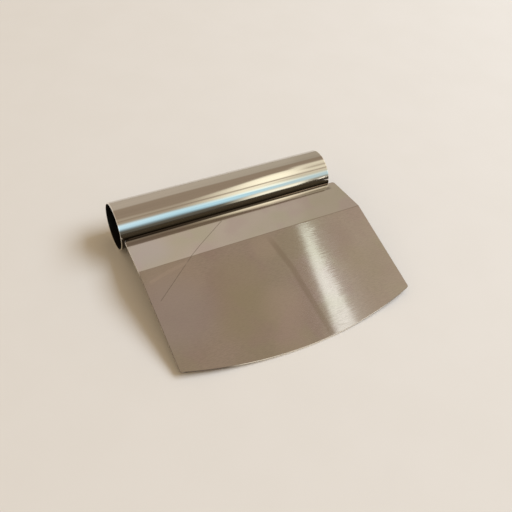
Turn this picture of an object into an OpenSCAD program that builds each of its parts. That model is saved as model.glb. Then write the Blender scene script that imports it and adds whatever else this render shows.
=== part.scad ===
// Bowl scraper: a bent stainless steel sheet welded to an open tube handle.
// It lies as it rests on a worktop, on the tube and on the middle of its curved edge.
// +X runs along the handle, -Y points to the curved working edge and +Z is up.
// The origin is on the worktop, under the middle of the whole part.

/* [Handle tube] */
// Outside diameter of the handle tube
tube_d = 25.4; // [19:0.1:32]
// Wall of the handle tube
tube_wall = 0.6; // [0.5:0.1:2]
// Length of the handle tube
tube_l = 123; // [90:1:160]
// Where the tube's middle lies along X, from the blade's middle line
tube_shift = -2.5; // [-4:0.5:4]

/* [Blade] */
// Width of the blade, at its widest
blade_w = 127; // [100:1:160]
// How far each side of the blade draws in from the bend to the tube
draw_in = 1; // [0.25:0.25:3]
// Thickness of the sheet
sheet_t = 1.2; // [0.8:0.1:2]
// Upper panel at mid thickness, from the tube to the bend
upper_l = 24; // [18:0.5:36]
// Lower panel at mid thickness, from the bend to the middle of the curved edge
lower_l = 63; // [50:0.5:80]
// Angle that the sheet is bent by
bend_angle = 18; // [16:1:40]
// Inside radius of the bend
bend_r = 1.5; // [0.5:0.5:5]
// Radius of the curved working edge
edge_r = 210; // [150:5:400]
// Radius of the blade's four corners
corner_r = 1.5; // [0.5:0.1:4]
// How far above the tube's axis the middle of the sheet meets the tube
joint_up = 0.7; // [0:0.1:2]

/* [Weld] */
// Leg of the fillet weld under the joint
weld_leg = 2; // [1:0.1:3]
// Leg of the fine fillet on top of the joint
weld_top_leg = 0.3; // [0.2:0.1:1]
// Bare joint left at each end of the weld
weld_gap = 1; // [0.5:0.5:5]

/* [Hidden] */
$fn = 96;

// Flats that stand for the curve of the bend
bend_steps = 8;

tube_r = tube_d / 2;
half_t = sheet_t / 2;
half_w = blade_w / 2;

// Joint in the YZ plane at mid thickness, with the tube's axis above y = 0
joint_in = sqrt(pow(tube_r, 2) - pow(joint_up, 2));
joint = [-joint_in, tube_r + joint_up];

// The blade's edge stands on the worktop. rise is the slope up of the upper panel and fall the
// slope down of the lower one.
reach_sin = lower_l * sin(bend_angle) + half_t * cos(bend_angle);
reach_cos = upper_l + lower_l * cos(bend_angle) - half_t * sin(bend_angle);
rise = acos(joint[1] / norm([reach_sin, reach_cos])) - atan2(reach_cos, reach_sin);
fall = bend_angle - rise;

// Bend and edge in the same plane
bend = joint + upper_l * [-cos(rise), sin(rise)];
edge = bend + lower_l * [-cos(fall), -sin(fall)];

// Centre of the bend, under the sheet and square to both panels
bend_lean = (fall - rise) / 2;
bend_c = bend + (bend_r + half_t) / cos(bend_angle / 2) * [sin(bend_lean), -cos(bend_lean)];

// Tube's axis from the joint, along the upper panel and square to it
axis_u = -joint_in * cos(rise) - joint_up * sin(rise);
axis_v = joint_in * sin(rise) - joint_up * cos(rise);

// Where the tube's curve meets a line v above the upper panel's mid plane, along the panel
function meets_tube(v) = axis_u + sqrt(pow(tube_r, 2) - pow(v - axis_v, 2));

// Extra sheet behind the joint and past the edge, which the tube's curve and the edge's trim off
spare = 2 * sheet_t;

// Distance from a corner's centre to the two edges that it rounds. It is just under the radius,
// so that the round crosses them at a clear angle.
corner_set = 0.99 * corner_r;

// Depth of a cut through one panel, centred on the sheet
panel_cut = 3 * sheet_t;

// How far the cuts at the corners reach beyond the sheet's outline
clear = corner_r + 2 * spare;

// Ends of the tube along X, and the middle of the whole part
tube_x0 = tube_shift - tube_l / 2;
tube_x1 = tube_shift + tube_l / 2;
mid_x = (min(tube_x0, -half_w) + max(tube_x1, half_w)) / 2;
mid_y = (tube_r + edge[0] - half_t * sin(fall)) / 2;

// Ends of the weld along X
joint_half_w = half_w - draw_in - corner_r;
weld_x0 = max(tube_x0, -joint_half_w) + weld_gap;
weld_x1 = min(tube_x1, joint_half_w) - weld_gap;

// Long enough to cut right through the part
through = 2 * (tube_l + blade_w);

// Puts the joint's own frame, with the tube's axis above its origin, in the part's frame
module on_worktop() {
    translate([-mid_x, -mid_y, 0]) children();
}

// Stands a YZ outline up and runs it from x0 to x1
module along_x(x0, x1) {
    translate([x0, 0, 0]) rotate([90, 0, 90]) linear_extrude(x1 - x0) children();
}

module tube_outside() {
    translate([0, tube_r]) circle(tube_r);
}

// Stands a flat outline square through a panel, from point p with +Y leading away from the tube
module through_panel(p, slope) {
    translate([0, p[0], p[1]]) rotate([slope, 0, 180])
        linear_extrude(panel_cut, center = true) children();
}

// What lies outside a circle of radius r, between its middle c and the points past
module waste(c, r, past) {
    difference() {
        polygon(concat([c], past));
        translate(c) circle(r);
    }
}

// What the drawn-in sides and the two corners at the tube leave off the upper panel
module upper_waste() {
    widest = [half_w, upper_l - sheet_t];
    draw = draw_in / widest[1];
    corner_y = meets_tube(-half_t) + corner_set;
    side_x = half_w - draw * (widest[1] - corner_y);
    corner = [side_x - corner_set * norm([1, draw]), corner_y];
    past = [half_w + clear, corner_y - clear];
    side_past = [half_w - draw * (widest[1] - past[1]), past[1]];
    for (side = [0, 1]) mirror([side, 0]) {
        polygon([widest, [past[0], widest[1]], past, side_past]);
        waste(corner, corner_r, [[past[0], corner_y], past, [corner[0], past[1]]]);
    }
}

// What the curved edge and its two corners leave off the lower panel
module lower_waste() {
    edge_c = [0, lower_l - edge_r];
    past_edge = [half_w + clear, lower_l + clear];
    waste(edge_c, edge_r, [[past_edge[0], 0], past_edge, [-past_edge[0], past_edge[1]], [-past_edge[0], 0]]);
    corner_x = half_w - corner_set;
    corner = edge_c + [corner_x, sqrt(pow(edge_r - corner_set, 2) - pow(corner_x, 2))];
    past = corner + clear * (corner - edge_c) / norm(corner - edge_c);
    for (side = [0, 1]) mirror([side, 0])
        waste(corner, corner_r, [[half_w + clear, corner[1]], [half_w + clear, past[1]], past]);
}

function bend_arc(r, from, to) = [
    for (i = [0 : bend_steps])
        let (a = from + (to - from) * i / bend_steps)
        bend_c + r * [cos(a), sin(a)]
];

// The bent sheet seen from its end
module profile() {
    up = [-cos(rise), sin(rise)];
    up_square = half_t * [sin(rise), cos(rise)];
    down = [-cos(fall), -sin(fall)];
    down_square = half_t * [-sin(fall), cos(fall)];
    start = joint - spare * up;
    end = edge + spare * down;
    polygon(concat(
        [start - up_square, start + up_square],
        bend_arc(bend_r + sheet_t, 90 - rise, 90 + fall),
        [end + down_square, end - down_square],
        bend_arc(bend_r, 90 + fall, 90 - rise)
    ));
}

module blade() {
    color([0.66, 0.61, 0.55]) on_worktop() difference() {
        along_x(-half_w, half_w) profile();
        along_x(-through, through) tube_outside();
        through_panel(joint, rise) upper_waste();
        through_panel(bend, -fall) lower_waste();
    }
}

module handle_tube() {
    color([0.72, 0.69, 0.64]) on_worktop() along_x(tube_x0, tube_x1) difference() {
        tube_outside();
        translate([0, tube_r]) circle(tube_r - tube_wall);
    }
}

// Fillet in the corner between the tube and the side of the sheet that side gives:
// 1 is the top and -1 the underside
module fillet_outline(side, leg) {
    v = side * half_t;
    u = meets_tube(v);
    turn = asin((v - axis_v) / tube_r) + side * leg / tube_r * 180 / PI;
    into_tube = leg / 4;
    toe_on_sheet = [u + leg, v];
    toe_on_tube = [axis_u, axis_v] + tube_r * [cos(turn), sin(turn)];
    face = (toe_on_tube - toe_on_sheet) / norm(toe_on_tube - toe_on_sheet);
    translate(joint) rotate(-rise) mirror([1, 0]) difference() {
        polygon([toe_on_sheet, [u - into_tube, v], toe_on_tube + into_tube * face]);
        translate([axis_u, axis_v]) circle(tube_r);
    }
}

module weld_seam() {
    color([0.58, 0.54, 0.49]) on_worktop() along_x(weld_x0, weld_x1) {
        fillet_outline(-1, weld_leg);
        fillet_outline(1, weld_top_leg);
    }
}

blade();
handle_tube();
weld_seam();
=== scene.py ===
"""Looks of the bowl scraper: a polished open tube with a bent, brushed sheet blade welded to it.

Everything is in metres and in the CAD frame. +X runs along the handle, -Y points to the curved
working edge and +Z is up. The scraper lies on the worktop as it was packed.
"""
import math

import bmesh
import bpy
from mathutils import Matrix, Vector


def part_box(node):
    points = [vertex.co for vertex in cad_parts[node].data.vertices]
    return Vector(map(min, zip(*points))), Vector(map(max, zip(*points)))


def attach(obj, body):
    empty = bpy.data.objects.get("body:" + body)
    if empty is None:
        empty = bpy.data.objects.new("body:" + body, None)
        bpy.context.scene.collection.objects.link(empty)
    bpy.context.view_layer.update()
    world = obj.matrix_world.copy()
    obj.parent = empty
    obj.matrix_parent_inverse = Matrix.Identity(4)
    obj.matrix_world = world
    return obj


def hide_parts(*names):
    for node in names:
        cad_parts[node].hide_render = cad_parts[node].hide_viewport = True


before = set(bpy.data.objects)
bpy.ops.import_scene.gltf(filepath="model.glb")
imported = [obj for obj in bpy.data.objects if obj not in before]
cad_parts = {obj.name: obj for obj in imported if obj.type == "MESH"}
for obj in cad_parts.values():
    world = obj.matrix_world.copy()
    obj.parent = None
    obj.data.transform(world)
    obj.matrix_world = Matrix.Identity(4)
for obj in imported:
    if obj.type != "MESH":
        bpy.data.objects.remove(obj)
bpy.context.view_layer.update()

# ---------------------------------------------------------------------------
# Camera. It looks down on the scraper from the front and left of the handle, held a little
# askew. Its angles and distance come from fitting the object's edges to the picture's.
# ---------------------------------------------------------------------------
MM = 0.001
scene = bpy.context.scene
scene.view_settings.view_transform = "Standard"

tube_lo, tube_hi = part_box("handle_tube")
blade_lo, blade_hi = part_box("blade")
axis_y = (tube_lo.y + tube_hi.y) / 2
blade_mid = (blade_lo.x + blade_hi.x) / 2

CAMERA_AZIMUTH = math.radians(-32.71468)
CAMERA_ELEVATION = math.radians(47.00785)
CAMERA_ROLL = math.radians(7.57434)
CAMERA_DISTANCE = 327.3633 * MM
CAMERA_TARGET = Vector((blade_mid + 1.3646 * MM, axis_y - 36.3308 * MM, 0))
CAMERA_LENS_PX = 612.996
PICTURE_PX = 512
SENSOR_WIDTH = 36
NEAREST, FARTHEST = 0.01, 20

cos_az, sin_az = math.cos(CAMERA_AZIMUTH), math.sin(CAMERA_AZIMUTH)
cos_el, sin_el = math.cos(CAMERA_ELEVATION), math.sin(CAMERA_ELEVATION)
back = Vector((sin_az * cos_el, -cos_az * cos_el, sin_el))
level = Vector((cos_az, sin_az, 0))
upright = back.cross(level)
across = math.cos(CAMERA_ROLL) * level + math.sin(CAMERA_ROLL) * upright
upward = math.cos(CAMERA_ROLL) * upright - math.sin(CAMERA_ROLL) * level

camera = bpy.data.objects.new("camera", bpy.data.cameras.new("camera"))
scene.collection.objects.link(camera)
camera.data.sensor_width = SENSOR_WIDTH
camera.data.lens = CAMERA_LENS_PX * SENSOR_WIDTH / PICTURE_PX
camera.data.clip_start, camera.data.clip_end = NEAREST, FARTHEST
placed = Matrix((across, upward, back)).transposed().to_4x4()
placed.translation = CAMERA_TARGET + CAMERA_DISTANCE * back
camera.matrix_world = placed
scene.camera = camera

# ---------------------------------------------------------------------------
# Handle tube. One length of thin-walled stainless steel tube, open at both ends, cut square
# and lightly deburred. It is polished outside, along its length, and left dull inside, with its
# bore painted near black as painted shade.
# ---------------------------------------------------------------------------
TUBE_WALL = 0.6 * MM
TUBE_RIM_ROUND = 0.12 * MM
TUBE_FLATS = 144
BORE_DEPTH = 0.9 * TUBE_WALL  # what lies deeper in the wall than this belongs to the bore
ROUND_STEPS = 3
SHARP_ANGLE = math.radians(50)

tube_r = (tube_hi.y - tube_lo.y) / 2
tube_length = tube_hi.x - tube_lo.x
tube_mid = (tube_lo.x + tube_hi.x) / 2


class Socket:
    """One value in a node tree, on which Python's own operators add Math nodes."""

    def __init__(self, nodes, socket):
        self.nodes, self.socket = nodes, socket

    def worked(self, operation, *values):
        return self.nodes.node("ShaderNodeMath", {"operation": operation}, dict(enumerate(values)))

    def __add__(self, other):
        return self.worked("ADD", self, other)

    def __sub__(self, other):
        return self.worked("SUBTRACT", self, other)

    def __rsub__(self, other):
        return self.worked("SUBTRACT", other, self)

    def __mul__(self, other):
        return self.worked("MULTIPLY", self, other)

    def __truediv__(self, other):
        return self.worked("DIVIDE", self, other)

    def __rtruediv__(self, other):
        return self.worked("DIVIDE", other, self)

    def __pow__(self, other):
        return self.worked("POWER", self, other)

    def __rpow__(self, other):
        return self.worked("POWER", other, self)

    def __abs__(self):
        return self.worked("ABSOLUTE", self)

    __radd__ = __add__
    __rmul__ = __mul__

    def within(self, low, high):
        """Smoothly 0 below low and 1 above high, or the other way round where low > high."""
        ends = (high, low, 1, 0) if low > high else (low, high, 0, 1)
        names = ("Value", "From Min", "From Max", "To Min", "To Max")
        settings = {"interpolation_type": "SMOOTHSTEP"}
        return self.nodes.node("ShaderNodeMapRange", settings, dict(zip(names, (self, *ends))))


class Nodes:
    """A node tree that is put together with Python calls."""

    def __init__(self, tree):
        self.tree = tree

    def node(self, kind, settings=None, inputs=None, output=None):
        """Adds a node, sets it up, fills or links its sockets, and gives one of its outputs."""
        made = self.tree.nodes.new(kind)
        for name, value in (settings or {}).items():
            setattr(made, name, value)
        for name, value in (inputs or {}).items():
            socket = made.inputs[name]
            if isinstance(value, Socket):
                self.tree.links.new(value.socket, socket)
            elif socket.type == "RGBA" and len(value) == 3:
                socket.default_value = (*value, 1)
            else:
                socket.default_value = value
        outputs = [out for out in made.outputs if out.enabled and output in (None, out.name)]
        return Socket(self, outputs[0]) if outputs else None


class Finish(Nodes):
    """The nodes of a material, of the world or of a lamp."""

    MIX_SHARE, MIX_FIRST, MIX_SECOND = 0, 6, 7  # the Mix node's sockets for colours

    def __init__(self, owner):
        owner.use_nodes = True
        super().__init__(owner.node_tree)
        self.owner = owner
        self.tree.nodes.clear()

    def place(self):
        """The place on the object."""
        return self.node("ShaderNodeTexCoord", output="Object")

    def parts(self, vector):
        """A vector's x, y and z."""
        apart = self.node("ShaderNodeSeparateXYZ", None, {"Vector": vector})
        return [Socket(self, out) for out in apart.socket.node.outputs]

    def mix(self, share, first, second):
        """A colour between two others."""
        inputs = {self.MIX_SHARE: share, self.MIX_FIRST: first, self.MIX_SECOND: second}
        return self.node("ShaderNodeMix", {"data_type": "RGBA"}, inputs)

    def layered(self, colour, *layers):
        """A colour with others laid over it in turn, each given as (share, colour)."""
        for share, tone in layers:
            colour = self.mix(share, colour, tone)
        return colour

    def noise(self, place, detail, stretch, start=(0, 0, 0)):
        """Noise from 0 to 1, finer along an axis by that axis's stretch."""
        inputs = {"Vector": place, "Location": start, "Scale": stretch}
        moved = self.node("ShaderNodeMapping", None, inputs)
        inputs = {"Vector": moved, "Scale": 1.0, "Detail": detail}
        return self.node("ShaderNodeTexNoise", None, inputs)

    def vector(self, operation, *values):
        return self.node("ShaderNodeVectorMath", {"operation": operation}, dict(enumerate(values)))

    def leaned(self, along_x, across_x):
        """The surface's normal, leaned by small amounts along X and square to X."""
        straight = self.node("ShaderNodeNewGeometry", output="Normal")
        crosswise = self.vector("CROSS_PRODUCT", (1, 0, 0), straight)
        lean_x = self.node("ShaderNodeCombineXYZ", None, {"X": along_x})
        spread = self.node("ShaderNodeCombineXYZ", None, dict.fromkeys("XYZ", across_x))
        lean = self.vector("MULTIPLY_ADD", crosswise, spread, lean_x)
        return self.vector("NORMALIZE", self.vector("ADD", straight, lean))

    def bump(self, height, strength, distance):
        inputs = {"Height": height, "Strength": strength, "Distance": distance}
        return self.node("ShaderNodeBump", None, inputs)

    def surface(self, **values):
        """The surface shader, bare metal unless told. Names use _ for a socket name's spaces."""
        inputs = {name.replace("_", " "): value for name, value in values.items()}
        shader = self.node("ShaderNodeBsdfPrincipled", None, {"Metallic": 1.0, **inputs})
        self.node("ShaderNodeOutputMaterial", None, {"Surface": shader})
        return self.owner


def new_piece(name, mesh):
    piece = bpy.data.objects.new(name, mesh)
    scene.collection.objects.link(piece)
    return piece


def settle(piece):
    """Turns what a piece's modifiers make into its plain mesh."""
    evaluated = piece.evaluated_get(bpy.context.evaluated_depsgraph_get())
    made = bpy.data.meshes.new_from_object(evaluated)
    piece.modifiers.clear()
    piece.data = made
    made.name = piece.name
    return piece


def deburr(piece, width, material=-1):
    """Rounds a piece's cut edges a little, and keeps the faces beside them truly flat."""
    piece.data.shade_smooth()
    rounding = piece.modifiers.new("deburr", "BEVEL")
    rounding.width, rounding.segments = width, ROUND_STEPS
    rounding.limit_method, rounding.angle_limit = "ANGLE", SHARP_ANGLE
    rounding.harden_normals, rounding.material = True, material
    return settle(piece)


class GeometryRecipe(Nodes):
    """A Geometry Nodes tree with named inputs, which makes one piece's mesh."""

    def __init__(self, name, **sizes):
        super().__init__(bpy.data.node_groups.new(name, "GeometryNodeTree"))
        self.sizes = sizes
        sockets = self.tree.interface
        for size in sizes:
            sockets.new_socket(size, in_out="INPUT", socket_type="NodeSocketFloat")
        sockets.new_socket("Geometry", in_out="OUTPUT", socket_type="NodeSocketGeometry")
        self.given = self.tree.nodes.new("NodeGroupInput")

    def size(self, name):
        return Socket(self, self.given.outputs[name])

    def piece(self, name, geometry):
        """Makes the piece from the tree's last geometry, as a plain mesh."""
        self.node("NodeGroupOutput", None, {"Geometry": geometry})
        made = new_piece(name, bpy.data.meshes.new(name))
        recipe = made.modifiers.new("recipe", "NODES")
        recipe.node_group = self.tree
        for item in self.tree.interface.items_tree:
            if item.item_type == "SOCKET" and item.in_out == "INPUT":
                recipe[item.identifier] = self.sizes[item.name]
        return settle(made)


def polished_steel():
    """Mirror polish with fine lines along the tube, painted shade low on its front by the joint and
    painted highlights on the rims.
    """
    finish = Finish(bpy.data.materials.new("polished_tube_steel"))
    place = finish.place()
    fine = finish.noise(place, 2.0, stretch=(30, 2600, 2600))
    broad = finish.noise(place, 2.0, stretch=(7, 420, 420), start=(3, 1, 2))
    wavy = finish.noise(place, 1.0, stretch=(12, 50, 50), start=(8, 4, 6))

    x, y, z = finish.parts(place)
    above_joint = (z - tube_r) / MM
    behind_axis = (y - axis_y) / MM
    # Painted highlight: the tube's rims are painted pale, standing in for the light they catch.
    from_end = (tube_length / 2 - abs(x - tube_mid)) / MM
    # Painted shade: the tube's front by the joint is darkened nearly to black, standing in for the
    # shade under the blade.
    tint = above_joint.within(3.1, 2.2) * above_joint.within(-9, -4) * behind_axis.within(0, -1)
    plain, duller = (0.63, 0.605, 0.565), (0.59, 0.565, 0.525)
    painted_shade_tone, painted_rim_highlight = (0.05, 0.04, 0.03), (0.93, 0.91, 0.87)
    colour = finish.layered(plain, (broad.within(0.35, 0.7), duller), (tint * 0.95, painted_shade_tone),
                            (from_end.within(0.5, 0.2), painted_rim_highlight))

    lines = (fine - 0.5) * 0.05 + (broad - 0.5) * 0.05 + (wavy - 0.5) * 0.03
    return finish.surface(Base_Color=colour, Roughness=0.055 + 0.04 * broad,
                          Normal=finish.leaned((wavy - 0.5) * 0.02, lines))


def raw_tube_bore():
    """The inside of the tube, rough as it was drawn and never polished, and painted near black as
    painted shade for the deep bore.
    """
    finish = Finish(bpy.data.materials.new("raw_tube_bore"))
    place = finish.place()
    drawn = finish.noise(place, 3.0, stretch=(40, 1800, 1800))
    blotches = finish.noise(place, 3.0, stretch=(160, 160, 160))
    # Painted shade: the bore's colours are nearly black, for the shade deep inside the tube.
    dark, paler = (0.022, 0.018, 0.014), (0.034, 0.029, 0.024)
    colour = finish.mix(blotches.within(0.35, 0.7), dark, paler)
    lines = finish.bump(drawn, 0.3, 0.03 * MM)
    return finish.surface(Base_Color=colour, Roughness=0.42 + 0.16 * drawn, Normal=lines)


tube_steel, tube_bore = polished_steel(), raw_tube_bore()
recipe = GeometryRecipe("swept_tube", Radius=tube_r, Wall=TUBE_WALL, Length=tube_length,
                        Middle=tube_mid, Axis_Y=axis_y)
mid_wall = recipe.size("Radius") - 0.5 * recipe.size("Wall")
round_path = recipe.node("GeometryNodeCurvePrimitiveCircle", {"mode": "RADIUS"},
                         {"Resolution": TUBE_FLATS, "Radius": mid_wall})
wall_outline = recipe.node("GeometryNodeCurvePrimitiveQuadrilateral", {"mode": "RECTANGLE"},
                           {"Width": recipe.size("Wall"), "Height": recipe.size("Length")})
swept = recipe.node("GeometryNodeCurveToMesh", None,
                    {"Curve": round_path, "Profile Curve": wall_outline})
centre = recipe.node("ShaderNodeCombineXYZ", None,
                     {"X": recipe.size("Middle"), "Y": recipe.size("Axis_Y"),
                      "Z": recipe.size("Radius")})
laid = recipe.node("GeometryNodeTransform", None,
                   {"Geometry": swept, "Translation": centre, "Rotation": (0, math.pi / 2, 0)})
whole = recipe.node("GeometryNodeRealizeInstances", None, {"Geometry": laid})
dressed = recipe.node("GeometryNodeSetMaterial", None, {"Geometry": whole, "Material": tube_steel})
handle = deburr(recipe.piece("tube_handle", dressed), TUBE_RIM_ROUND)

handle.data.materials.clear()
handle.data.materials.append(tube_steel)
handle.data.materials.append(tube_bore)
for face in handle.data.polygons:
    from_axis = math.hypot(face.center.y - axis_y, face.center.z - tube_r)
    face.material_index = 1 if from_axis < tube_r - BORE_DEPTH else 0
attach(handle, "root")
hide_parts("handle_tube")

# ---------------------------------------------------------------------------
# Blade. One piece of stainless steel sheet, cut to its outline, bent once across its width and
# deburred. The short panel by the tube is nearly a mirror and the long one is brushed across.
# ---------------------------------------------------------------------------
SHEET = 1.2 * MM
UPPER_LENGTH = 24 * MM
LOWER_LENGTH = 63 * MM
BEND_ANGLE = math.radians(18)
BEND_INSIDE_R = 1.5 * MM
HALF_WIDTH = (blade_hi.x - blade_lo.x) / 2
DRAW_IN = 1 * MM
EDGE_RADIUS = 210 * MM
CORNER_R = 1.5 * MM
JOINT_UP = 0.7 * MM
BLADE_DEBURR = 0.22 * MM
TUBE_FIT = 3 * MM  # sheet beside the tube that is stretched to meet its round wall

# A millimetre on the flat sheet's map, and how finely the sheet is cut up before it is bent.
MAP_MM = 0.01
CORNER_STEPS, EDGE_STEPS = 8, 40
UPPER_STEPS, BEND_STEPS, LOWER_STEPS, HALF_WIDTH_STEPS = 6, 8, 14, 12
ON_CUT, SAME_PLACE = 1e-7, 1e-6  # metres within which points are on a cut, or are one point

# The upper panel rises from just above the tube's axis and the edge stands on the worktop.
joint_in = math.sqrt(tube_r ** 2 - JOINT_UP ** 2)
joint_height = tube_r + JOINT_UP
reach_sin = LOWER_LENGTH * math.sin(BEND_ANGLE) + SHEET / 2 * math.cos(BEND_ANGLE)
reach_cos = UPPER_LENGTH + LOWER_LENGTH * math.cos(BEND_ANGLE) - SHEET / 2 * math.sin(BEND_ANGLE)
rise = math.acos(joint_height / math.hypot(reach_sin, reach_cos)) - math.atan2(reach_cos, reach_sin)
axis_u = -joint_in * math.cos(rise) - JOINT_UP * math.sin(rise)
axis_v = joint_in * math.sin(rise) - JOINT_UP * math.cos(rise)

mid_bend_r = BEND_INSIDE_R + SHEET / 2
bend_setback = mid_bend_r * math.tan(BEND_ANGLE / 2)
bend_arc = mid_bend_r * BEND_ANGLE
upper_flat = UPPER_LENGTH - bend_setback
lower_flat = LOWER_LENGTH - bend_setback
lower_from = upper_flat + bend_arc
edge_at = lower_from + lower_flat
widest_at = UPPER_LENGTH - SHEET


def meets_tube(v):
    """Where a line v above the upper panel's middle meets the tube, along the panel."""
    return axis_u + math.sqrt(tube_r ** 2 - (v - axis_v) ** 2)


def bent(x, s, v):
    """The place of a point s along the flat sheet and v above its middle, once it is bent."""
    slope = rise - min(max(s - upper_flat, 0), bend_arc) / mid_bend_r
    before, past = min(s, upper_flat), max(s - lower_from, 0)
    ahead = before * math.cos(rise) + past * math.cos(slope)
    up = before * math.sin(rise) + past * math.sin(slope)
    ahead += mid_bend_r * (math.sin(rise) - math.sin(slope)) - v * math.sin(slope)
    up += mid_bend_r * (math.cos(slope) - math.cos(rise)) + v * math.cos(slope)
    return Vector((x, axis_y - joint_in - ahead, joint_height + up))


def corner_points(middle, start, stop):
    """Points round a corner of the outline, between two angles."""
    turns = [start + (stop - start) * i / CORNER_STEPS for i in range(CORNER_STEPS + 1)]
    return [(middle[0] + CORNER_R * math.cos(a), middle[1] + CORNER_R * math.sin(a)) for a in turns]


def half_outline():
    """The right half of the flat sheet's outline as (x, s) points, from the tube to the edge."""
    draw_angle = math.atan2(DRAW_IN, widest_at)
    near_s = meets_tube(-SHEET / 2) + CORNER_R
    side_x = HALF_WIDTH - DRAW_IN * (1 - near_s / widest_at)
    edge_middle = edge_at - EDGE_RADIUS
    far_x = HALF_WIDTH - CORNER_R
    far_s = math.sqrt((EDGE_RADIUS - CORNER_R) ** 2 - far_x ** 2)
    lean = math.atan2(far_s, far_x)
    points = corner_points((side_x - CORNER_R / math.cos(draw_angle), near_s),
                           -math.pi / 2, -draw_angle)
    points.append((HALF_WIDTH, widest_at))
    points += corner_points((far_x, edge_middle + far_s), 0, lean)
    for i in range(1, EDGE_STEPS + 1):
        a = lean + (math.pi / 2 - lean) * i / EDGE_STEPS
        points.append((EDGE_RADIUS * math.cos(a), edge_middle + EDGE_RADIUS * math.sin(a)))
    return points


def flat_sheet():
    """The flat outline cut into strips and squares: its points, its faces and its rim's edges."""
    right_side = half_outline()
    left_side = [(-x, s) for x, s in reversed(right_side) if x > ON_CUT]
    flat = bmesh.new()
    flat.faces.new([flat.verts.new((x, s, 0)) for x, s in right_side + left_side])
    cuts_s = [upper_flat + bend_arc * i / BEND_STEPS for i in range(BEND_STEPS + 1)]
    cuts_s += [upper_flat * i / UPPER_STEPS for i in range(1, UPPER_STEPS)]
    cuts_s += [lower_from + lower_flat * i / LOWER_STEPS for i in range(1, LOWER_STEPS)]
    steps_x = range(1 - HALF_WIDTH_STEPS, HALF_WIDTH_STEPS)
    cuts_x = [HALF_WIDTH * i / HALF_WIDTH_STEPS for i in steps_x]
    cuts = [((0, s, 0), (0, 1, 0)) for s in cuts_s] + [((x, 0, 0), (1, 0, 0)) for x in cuts_x]
    for place, along in cuts:
        everything = flat.verts[:] + flat.edges[:] + flat.faces[:]
        bmesh.ops.bisect_plane(flat, geom=everything, plane_co=place, plane_no=along, dist=ON_CUT)
    bmesh.ops.remove_doubles(flat, verts=flat.verts, dist=SAME_PLACE)
    flat.verts.ensure_lookup_table()
    flat.faces.ensure_lookup_table()
    places = [v.co.copy() for v in flat.verts]
    faces = [[v.index for v in f.verts] for f in flat.faces]
    loops = [e.link_loops[0] for e in flat.edges if len(e.link_faces) == 1]
    rim = [(loop.vert.index, loop.link_loop_next.vert.index) for loop in loops]
    flat.free()
    return places, faces, rim


def sheet_mesh():
    """Bends both sides of the flat sheet and joins them round the rim, with the flat map on it."""
    places, faces, rim = flat_sheet()
    solid = bmesh.new()
    flat_map = solid.loops.layers.uv.new("flat_sheet")
    first_s = meets_tube(-SHEET / 2)
    sides = []
    for v in (SHEET / 2, -SHEET / 2):
        shift = meets_tube(v) - first_s
        made = []
        for p in places:
            near_tube = max(0, 1 - (p.y - first_s) / TUBE_FIT)
            made.append(solid.verts.new(bent(blade_mid + p.x, p.y + shift * near_tube, v)))
        sides.append(made)
    top, underside = sides
    for made in sides:
        for face in faces:
            order = face if made is top else face[::-1]
            solid.faces.new([made[i] for i in order])
    for a, b in rim:
        solid.faces.new([top[b], top[a], underside[a], underside[b]]).material_index = 1
    solid.normal_update()
    bmesh.ops.recalc_face_normals(solid, faces=solid.faces)
    flat_of = {vert: place for made in sides for vert, place in zip(made, places)}
    for face in solid.faces:
        for loop in face.loops:
            loop[flat_map].uv = flat_of[loop.vert].xy * (MAP_MM / MM)
    mesh = bpy.data.meshes.new("bent_blade")
    solid.to_mesh(mesh)
    solid.free()
    return mesh


def on_flat_sheet(finish):
    """The place on the flat map, then how far it is across and from the joint, both in mm."""
    flat = finish.node("ShaderNodeUVMap", {"uv_map": "flat_sheet"})
    x, s, _ = finish.parts(flat)
    return flat, x / MAP_MM, s / MAP_MM


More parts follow.
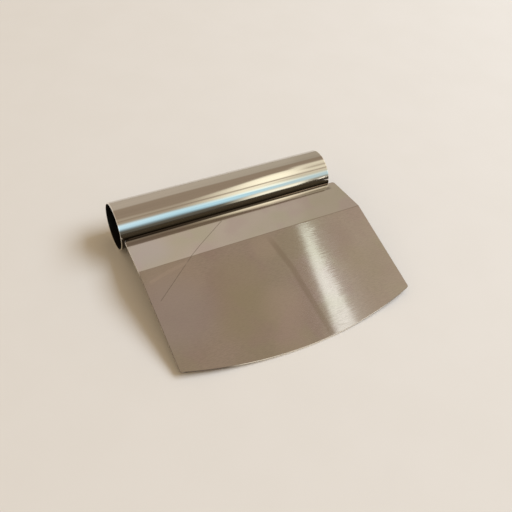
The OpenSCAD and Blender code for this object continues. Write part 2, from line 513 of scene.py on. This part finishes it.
def blade_steel():
    """Semi-mirror above the bend, brushed across below it, with stains, a scratch and a smear, and
    with painted highlight, painted shade and painted reflection tones.
    """
    finish = Finish(bpy.data.materials.new("blade_sheet_steel"))
    flat, across, from_joint = on_flat_sheet(finish)
    bend_at = UPPER_LENGTH / MM
    lower = from_joint.within(bend_at - 0.3, bend_at + 0.3)
    fade = 0.4  # mm that a mark takes to fade, on either side of its end

    def mark(width, *places):
        """1 on a thin mark through (x, s) places in mm, fading to 0 beside it and at its ends."""
        bare = 1
        for (x0, s0), (x1, s1) in zip(places, places[1:]):
            run = math.hypot(x1 - x0, s1 - s0)
            ux, us = (x1 - x0) / run, (s1 - s0) / run
            along = (across - x0) * ux + (from_joint - s0) * us
            beside = abs((across - x0) * us - (from_joint - s0) * ux)
            inside = along.within(-fade, fade) * along.within(run + fade, run - fade)
            bare = bare * (1 - beside.within(width, 0.3 * width) * inside)
        return 1 - bare

    def patch(x0, s0, radius):
        """1 at an (x, s) place in mm, fading to 0 all round it."""
        beside, beyond = across - x0, from_joint - s0
        return (beside * beside + beyond * beyond).within(radius * radius, 0)

    grain = finish.noise(flat, 3.0, stretch=(20, 170, 1))
    fine_grain = finish.noise(flat, 2.0, stretch=(12, 760, 1), start=(3, 7, 0))
    hair = finish.noise(flat, 2.0, stretch=(45, 260, 1), start=(4, 8, 0))
    jagged = finish.noise(flat, 2.0, stretch=(16, 420, 1), start=(9, 1, 0))
    stains = finish.noise(flat, 2.5, stretch=(2.2, 3.4, 1), start=(1.7, 0.4, 0))
    clouds = finish.noise(flat, 2.0, stretch=(5.5, 4.5, 1), start=(5.1, 2.2, 0))

    # Cloudy tones, then the grain's dark side.
    warm, green, pink = (0.66, 0.613, 0.585), (0.615, 0.597, 0.518), (0.635, 0.57, 0.56)
    grain_dark, hair_dark = (0.46, 0.43, 0.39), (0.42, 0.40, 0.37)
    colour = finish.layered(
        warm, (stains.within(0.38, 0.62), green), (clouds.within(0.48, 0.66), pink),
        (grain.within(0.35, 0.65) * (0.04 + 0.07 * lower), grain_dark),
        (hair.within(0.42, 0.62) * 0.22 * lower, hair_dark))

    # Painted reflection tones in patches, each given as its share and tone, its place (x, s) and
    # its radius in mm.
    pale, mauve = (0.76, 0.69, 0.65), (0.56, 0.49, 0.48)
    olive, lilac = (0.60, 0.58, 0.46), (0.64, 0.62, 0.68)
    painted_reflection_patches = (
        (0.45, pale, -5, 64, 15), (0.40, pale, 1, 31, 10),
        (0.45, mauve, 39, 38, 14), (0.25, mauve, 62, 62, 16),
        (0.30, pale, -50, 36, 18), (0.35, pale, -8, 82, 13),
        (0.45, olive, -19, 44, 18), (0.45, olive, -24, 62, 20), (0.25, olive, 42, 52, 12),
        (0.55, lilac, -56, 50, 26), (0.50, lilac, -56, 12, 16))
    colour = finish.layered(
        colour, *((patch(*place) * share, tone) for share, tone, *place in painted_reflection_patches))

    # Marks of use, and painted shade along the bend.
    scratch = mark(0.26, (-11.2, 5.6), (-29, 18.3), (-45.1, 30.8), (-59, 41.7))
    smear = mark(1.3, (-60.4, 31.1), (-50.3, 28.4), (-39.6, 26.3))
    rub = mark(2.3, (5.5, 24.9), (9.4, 46), (11.7, 86)) * from_joint.within(24, 33)
    # Painted shade: a dark line along the bend.
    painted_crease_shade = abs(from_joint - bend_at).within(0.3, 0.1)
    colour = finish.layered(
        colour, (scratch * 0.55, (0.20, 0.17, 0.14)), (smear * 0.5, (0.75, 0.70, 0.66)),
        (rub * 0.45, (0.42, 0.37, 0.31)), (painted_crease_shade * 0.35, (0.40, 0.36, 0.31)))

    # Beside the joint a bright line is painted as a painted highlight, standing in for the tube's
    # mirror image, and past that a band is darkened as painted shade.
    grinding_and_painted_shine = (from_joint - 0.8 * across.within(-30, 0)).within(1.8, 1.2)
    grinding_and_painted_shine = 0.85 * grinding_and_painted_shine * across.within(58, 54) * across.within(-50, -20)
    right_painted_shade = from_joint.within(2.7, 3.3) * from_joint.within(5.4, 4.8)
    right_painted_shade = right_painted_shade * (0.45 + 0.3 * across.within(20, 45)) * across.within(59, 56)
    left_painted_shade = from_joint.within(3.4, 2.6) * across.within(-15, -45) * 0.4
    # Painted shade beside the joint, on both sides.
    tint = 1 - (1 - right_painted_shade) * (1 - left_painted_shade)
    colour = finish.layered(colour, (grinding_and_painted_shine, (0.92, 0.88, 0.84)), (tint, (0.28, 0.25, 0.22)))

    # The grain leans the normal square to its own lines, and stains and clouds make it wave.
    roughness = 0.06 + 0.04 * clouds + (0.02 * stains - 0.025) * lower + 0.3 * scratch
    wave_x, wave_s = (clouds - 0.5) * 0.005, (stains - 0.5) * 0.02
    flecked = 1 + 1.2 * patch(-5, 64, 15) + 0.8 * patch(12, 31, 14)
    brushed = ((grain - 0.5) * 0.10 + (fine_grain - 0.5) * 0.26 * flecked) * lower
    rolled = (fine_grain - 0.5) * 0.02 * (1 - lower)
    lean = finish.leaned((jagged - 0.5) * 0.009 * lower + wave_x, brushed + rolled + wave_s)
    return finish.surface(Base_Color=colour, Roughness=roughness, Normal=lean)


def cut_edge_steel():
    """The sheet's cut edge: satin, with painted highlights by the tube and on the middle of the
    curve, and painted shade on its lower sides and the curve's ends.
    """
    finish = Finish(bpy.data.materials.new("cut_edge_steel"))
    _, across, from_joint = on_flat_sheet(finish)
    grinding_and_painted_shine = finish.noise(finish.place(), 2.0, stretch=(200, 200, 4000))
    # Painted light: each part of the edge is painted lit or shaded, after how light falls on it
    # there.
    upper_side, lower_side = (0.80, 0.76, 0.70), (0.30, 0.25, 0.20)
    left_curve, curve, right_curve = (0.17, 0.13, 0.10), (0.97, 0.92, 0.82), (0.32, 0.26, 0.20)
    on_side = finish.mix(from_joint.within(23, 26), upper_side, lower_side)
    on_curve = finish.layered(left_curve, (across.within(-44, -34), curve),
                              (across.within(40, 52), right_curve))
    colour = finish.mix(abs(across).within(62.5, 61), on_side, on_curve)
    return finish.surface(Base_Color=colour, Metallic=0.55, Roughness=0.30 + 0.15 * grinding_and_painted_shine)


blade = new_piece("bent_blade", sheet_mesh())
blade.data.materials.append(blade_steel())
blade.data.materials.append(cut_edge_steel())
deburr(blade, BLADE_DEBURR, material=1)
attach(blade, "root")
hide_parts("blade")

# ---------------------------------------------------------------------------
# Weld. Under the joint runs a fillet of overlapping ripples, left as it was laid, and on top a
# fine line where the metal flowed through. It holds the blade to the tube.
# ---------------------------------------------------------------------------
WELD_LEG = 2 * MM
WELD_TOP_LEG = 0.3 * MM
WELD_PITCH = 1.1 * MM
WELD_WANDER = 0.06 * MM
FACE_STEPS = 6
UNDERSIDE, TOP = -1, 1
# How deep the weld's root lies in the tube and in the sheet, and a ripple's height and dip, in
# legs. A ripple's toes trail behind its middle by RIPPLE_TRAIL pitches.
ROOT_IN_TUBE, ROOT_IN_SHEET = 0.25, 0.125
RIPPLE_HEIGHT, RIPPLE_DIP, RIPPLE_TRAIL = 0.16, 0.05, 0.35
# Along one ripple: the place in pitches, and how full the crown is there.
RIPPLE_CROWNS = ((-0.8, 0.0), (-0.45, 0.75), (0, 1.0), (0.35, 0.8), (0.62, 0.3), (0.8, 0.0))
weld_lo, weld_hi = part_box("weld_seam")


def weld_steel():
    """Rough weld metal with a straw to brown heat tint, and painted shade on top at its left part.
    """
    finish = Finish(bpy.data.materials.new("weld_metal"))
    place = finish.place()
    straw = finish.noise(place, 3.0, stretch=(130, 130, 130))
    grit = finish.noise(place, 3.0, stretch=(2600, 2600, 2600))
    x, _, z = finish.parts(place)
    on_top = ((z - tube_r) / MM).within(0.9, 1.2)
    # Painted shade: the weld's top at its left part is darkened, standing in for the shade at the
    # contact.
    painted_contact_shade = on_top * ((x - blade_mid) / MM).within(35, 15)
    colour = finish.layered((0.62, 0.585, 0.54), (straw.within(0.35, 0.7), (0.52, 0.44, 0.35)),
                            (painted_contact_shade * 0.9, (0.05, 0.04, 0.03)))
    return finish.surface(Base_Color=colour, Roughness=0.26 + 0.2 * grit,
                          Normal=finish.bump(grit, 0.35, 0.02 * MM))


def fillet_piece(name, side, leg, stations, rippled):
    """A length of fillet with a cross-section at each station, given as (x, crown)."""
    v = side * SHEET / 2
    u = meets_tube(v)
    turn = math.asin((v - axis_v) / tube_r) + side * leg / tube_r
    toe_sheet = Vector((u + leg, v))
    toe_tube = Vector((axis_u + tube_r * math.cos(turn), axis_v + tube_r * math.sin(turn)))
    root = Vector((u - ROOT_IN_TUBE * leg, v - side * ROOT_IN_SHEET * leg))
    face = toe_tube - toe_sheet
    outward = Vector((face.y, -face.x)).normalized()
    if outward.dot(toe_sheet - root) < 0:
        outward = -outward
    fillet = bmesh.new()
    rings = []
    for along, crown in stations:
        ring = []
        for i in range(FACE_STEPS + 1):
            p = toe_sheet + face * (i / FACE_STEPS)
            trail = 0
            if rippled:
                bulge = math.sin(math.pi * i / FACE_STEPS)
                height = RIPPLE_HEIGHT * crown * bulge - RIPPLE_DIP * (1 - crown)
                p = p + outward * (leg * height)
                trail = RIPPLE_TRAIL * (1 - bulge) * (WELD_PITCH - abs(along))
            ring.append((along - trail, p.x, p.y))
        ring.append((along, root.x, root.y))
        rings.append([fillet.verts.new(bent(*point)) for point in ring])
    for one, two in zip(rings, rings[1:]):
        for i in range(len(one)):
            j = (i + 1) % len(one)
            fillet.faces.new([one[i], one[j], two[j], two[i]])
    fillet.faces.new(rings[0])
    fillet.faces.new(list(reversed(rings[-1])))
    bmesh.ops.recalc_face_normals(fillet, faces=fillet.faces)
    mesh = bpy.data.meshes.new(name)
    fillet.to_mesh(mesh)
    fillet.free()
    if rippled:
        mesh.shade_smooth()
    return new_piece(name, mesh)


weld_finish = weld_steel()
ripple = fillet_piece("ripple", UNDERSIDE, WELD_LEG,
                      [(x * WELD_PITCH, crown) for x, crown in RIPPLE_CROWNS], rippled=True)
fine_line = fillet_piece("fine_line", TOP, WELD_TOP_LEG,
                         [(weld_lo.x, 0), (weld_hi.x, 0)], rippled=False)
ripple_count = int((weld_hi.x - weld_lo.x) / WELD_PITCH) - 1
recipe = GeometryRecipe("laid_ripples", First=weld_lo.x + WELD_PITCH, Pitch=WELD_PITCH,
                        Wander=WELD_WANDER)
step = recipe.node("ShaderNodeCombineXYZ", None, {"X": recipe.size("Pitch")})
first = recipe.node("ShaderNodeCombineXYZ", None, {"X": recipe.size("First")})
line = recipe.node("GeometryNodeMeshLine", {"mode": "OFFSET"},
                   {"Count": ripple_count, "Start Location": first, "Offset": step})
LOWEST, HIGHEST = 2, 3  # the Random Value node's sockets for its range
wander = recipe.node("FunctionNodeRandomValue", {"data_type": "FLOAT"},
                     {LOWEST: -1 * recipe.size("Wander"), HIGHEST: recipe.size("Wander"),
                      "Seed": 0})
drift = recipe.node("ShaderNodeCombineXYZ", None, {"X": wander})
spread = recipe.node("GeometryNodeSetPosition", None, {"Geometry": line, "Offset": drift})
one_ripple, top_line = [
    recipe.node("GeometryNodeObjectInfo", None, {"Object": made}, output="Geometry")
    for made in (ripple, fine_line)]
laid = recipe.node("GeometryNodeInstanceOnPoints", None, {"Points": spread, "Instance": one_ripple})
joined = recipe.node("GeometryNodeJoinGeometry")
for bead in (laid, top_line):
    recipe.tree.links.new(bead.socket, joined.socket.node.inputs[0])
whole = recipe.node("GeometryNodeRealizeInstances", None, {"Geometry": joined})
dressed = recipe.node("GeometryNodeSetMaterial", None, {"Geometry": whole, "Material": weld_finish})
weld = recipe.piece("weld_beads", dressed)
for made in (ripple, fine_line):
    bpy.data.objects.remove(made)
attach(weld, "root")
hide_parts("weld_seam")

# ---------------------------------------------------------------------------
# Worktop. A plain pale surface that the scraper lies on, which keeps its shadow.
# ---------------------------------------------------------------------------
FLOOR_HALF = 3.0


def worktop_paint():
    """Pale paint. In front, where the room is dark, only the metal's mirror images show it dark."""
    finish = Finish(bpy.data.materials.new("pale_worktop"))
    place = finish.place()
    mottle = finish.noise(place, 3.0, stretch=(30, 30, 30))
    _, y, _ = finish.parts(place)
    mirrored = finish.node("ShaderNodeLightPath", output="Is Glossy Ray")
    colour = finish.layered((0.795, 0.740, 0.660), (mottle.within(0.3, 0.7), (0.805, 0.750, 0.672)),
                            (mirrored * y.within(-0.07, -0.13), (0.06, 0.05, 0.04)))
    return finish.surface(Base_Color=colour, Metallic=0.0, Roughness=0.85, Specular_IOR_Level=0.1)


floor_corners = [(-FLOOR_HALF, -FLOOR_HALF, 0), (FLOOR_HALF, -FLOOR_HALF, 0),
                 (FLOOR_HALF, FLOOR_HALF, 0), (-FLOOR_HALF, FLOOR_HALF, 0)]
floor_mesh = bpy.data.meshes.new("worktop")
floor_mesh.from_pydata(floor_corners, [], [(0, 1, 2, 3)])
floor = new_piece("worktop", floor_mesh)
floor.data.materials.append(worktop_paint())

# ---------------------------------------------------------------------------
# Light. A soft pale room and one big soft lamp to the right. The metal mirrors a dark front, a
# dim ceiling and a pale back wall. The tube alone also mirrors two bright cards, in front of it
# and above it, and the blade alone mirrors a bright strip on the ceiling.
# ---------------------------------------------------------------------------
ROOM = (0.54, 0.445, 0.325)
BACKDROP = (0.80, 0.74, 0.65)
DARKEST_FRONT, DARK_FRONT = (0.028, 0.016, 0.008), (0.095, 0.074, 0.046)
CEILING, RIGHT_CEILING = (0.425, 0.33, 0.245), (0.72, 0.62, 0.47)
BACK_WALL = (0.65, 0.56, 0.46)
RIGHT_WALL, FAR_RIGHT_WALL = (0.605, 0.53, 0.43), (0.55, 0.475, 0.375)

WINDOW_AT = Vector((1.30, -0.25, 1.47))
WINDOW_SIZE = (1.70, 1.05)
WINDOW_COLOUR, WINDOW_POWER = (0.70, 0.82, 1.0), 37.7

CARD_DISTANCE = 0.6
CARD_WIDTH = 1.6
CARD_MIDDLE_X = 0.3
STRIP_AT = Vector((0.33, 0.03, 0.6))
STRIP_SIZE = (0.36, 0.44)


def heights(finish, direction):
    """A direction's height in degrees, from 0 in front over 90 on top to 180 behind, and its x."""
    x, y, z = finish.parts(direction)
    return z.worked("ARCTAN2", z, 0 - y) * (180 / math.pi), x


def room_light():
    """One plain tone lights everything, the backdrop is pale and mirrors see the room itself."""
    finish = Finish(bpy.data.worlds.new("room"))
    height, side = heights(finish, finish.node("ShaderNodeTexCoord", output="Generated"))
    to_right = side.within(0.41, 0.59) * height.within(113, 105) * height.within(50, 70)
    ceiling = finish.layered(
        DARKEST_FRONT, (height.within(-22, 4), DARK_FRONT), (height.within(36, 52), CEILING),
        (to_right * 0.45, RIGHT_CEILING))
    wall = finish.layered(BACK_WALL, (side.within(0.24, 0.41), RIGHT_WALL),
                          (side.within(0.45, 0.465), FAR_RIGHT_WALL))
    wall_top = (height - 6 * side.within(0.1, 0.3)).within(113, 122)
    mirrored = finish.mix(wall_top, ceiling, wall)
    glossy_ray = finish.node("ShaderNodeLightPath", output="Is Glossy Ray")
    camera_ray = finish.node("ShaderNodeLightPath", output="Is Camera Ray")
    shown = finish.layered(ROOM, (glossy_ray, mirrored), (camera_ray, BACKDROP))
    light = finish.node("ShaderNodeBackground", None, {"Color": shown, "Strength": 1.0})
    finish.node("ShaderNodeOutputWorld", None, {"Surface": light})
    return finish.owner


scene.world = room_light()


def lamp(name, place, facing, size, colour, power):
    """A rectangular lamp that shines the way it faces."""
    data = bpy.data.lights.new(name, "AREA")
    data.shape, data.size, data.size_y = "RECTANGLE", size[0], size[1]
    data.energy, data.color = power, colour
    made = new_piece(name, data)
    made.location = place
    made.rotation_mode = "QUATERNION"
    made.rotation_quaternion = Vector(facing).to_track_quat("-Z", "Y")
    return made


window = lamp("window", WINDOW_AT, -WINDOW_AT, WINDOW_SIZE, WINDOW_COLOUR, WINDOW_POWER)
window.visible_glossy = False


def mirrored_card(name, place, facing, size, glow, piece):
    """A card that only one piece mirrors. glow(finish, place on it) gives its colour there."""
    made = lamp(name, place, facing, size, (1, 1, 1), size[0] * size[1] * math.pi)
    finish = Finish(made.data)
    colour = glow(finish, finish.node("ShaderNodeNewGeometry", output="Position"))
    light = finish.node("ShaderNodeEmission", None, {"Color": colour, "Strength": 1.0})
    finish.node("ShaderNodeOutputLight", None, {"Surface": light})
    made.visible_diffuse = False
    group = bpy.data.collections.new(name + "_only")
    group.objects.link(piece)
    made.light_linking.receiver_collection = group


def front_glow(finish, place):
    """Blue sky low down, a cream wall above it that grows to the right, and a yellow gleam."""
    e, x = heights(finish, finish.vector("SUBTRACT", place, (0, axis_y, tube_r)))
    last = x.within(0.34, 0.37)  # the card's part that shows at the tube's right end

    steep = x.within(0.14, 0.21)
    sky_foot = ((e - (10 + 1.5 * steep)) / (19.5 - 6 * steep)).within(0, 1) ** 1.1
    sky = sky_foot * (e + 5 * x.within(0.12, 0.25)).within(51.5, 36)
    blue = finish.layered((0.72, 1.10, 1.35), (x.within(0.06, 0.16), (0.62, 1.04, 1.29)),
                          (x.within(0.22, 0.36), (0.66, 0.90, 1.00)))
    haze = e.within(-6, 6) * e.within(24, 12) * x.within(0.24, 0.18)

    tilt = 22 * ((x - 0.13) / 0.2).within(0, 1) + 8 * last
    cream = (e - tilt).within(75, 66) * e.within(30, 41)
    cream = cream * (0.11 + 0.69 * x.within(0.14, 0.29) - 0.38 * x.within(0.31, 0.38))
    drawn_out = finish.node("ShaderNodeCombineXYZ", None, {"X": x, "Y": e})
    streaks = finish.noise(drawn_out, 3.0, stretch=(1.5, 0.22, 1))
    dark_line = abs(e - 58).within(5.5, 1) * 0.75
    second_line = abs(e - 77).within(7, 2) * last * 0.6
    cream = cream * (0.45 + 1.1 * streaks) * (1 - dark_line) * (1 - second_line)

    gleam = (e - 5 * last).within(2, 7) * e.within(26, 12)
    gleam = gleam * x.within(0.20, 0.28) * (1 - 0.75 * x.within(0.345, 0.37))
    glint = abs(e - 9).within(4.5, 1.5) * abs(x - 0.392).within(0.0055, 0.0015)

    black = (0, 0, 0)
    colour = finish.layered(black, (sky, blue), (gleam, (1.46, 1.44, 1.22)))
    for share, light in ((haze, (0.06, 0.07, 0.07)), (cream, (1.42, 1.42, 1.15)),
                         (glint, (3.0, 2.8, 2.5))):
        colour = finish.vector("ADD", colour, finish.mix(share, black, light))
    return colour


for name, low, high in (("lower_card", -6, 45), ("upper_card", 45, 110)):
    middle, spread = math.radians((low + high) / 2), math.radians(high - low) / 2
    outward = Vector((0, -math.cos(middle), math.sin(middle)))
    place = Vector((CARD_MIDDLE_X, axis_y, tube_r)) + CARD_DISTANCE * outward
    mirrored_card(name, place, -outward, (CARD_WIDTH, 2 * CARD_DISTANCE * math.tan(spread)),
                  front_glow, handle)


def strip_glow(finish, place):
    """A ceiling strip that widens to the front, crisp on its left and fading to its right."""
    x, y, _ = finish.parts(place)
    from_left = x - 0.3115 - y * 0.0535
    from_right = x - 0.350 + y * 0.095
    crisp_left = from_left.within(-0.002, 0.003)
    core = crisp_left * from_right.within(0.003, -0.013)
    tail = crisp_left * from_right.within(0.05, -0.01) * 0.16
    halo = from_left.within(-0.16, 0.0) * 0.03
    fade = y.within(0.185, 0.085) * (1 - 0.5 * y.within(0.03, -0.08))
    return finish.mix(core * fade + tail + halo, (0, 0, 0), (0.82, 0.92, 0.92))


mirrored_card("ceiling_strip", STRIP_AT, (0, 0, -1), STRIP_SIZE, strip_glow, blade)
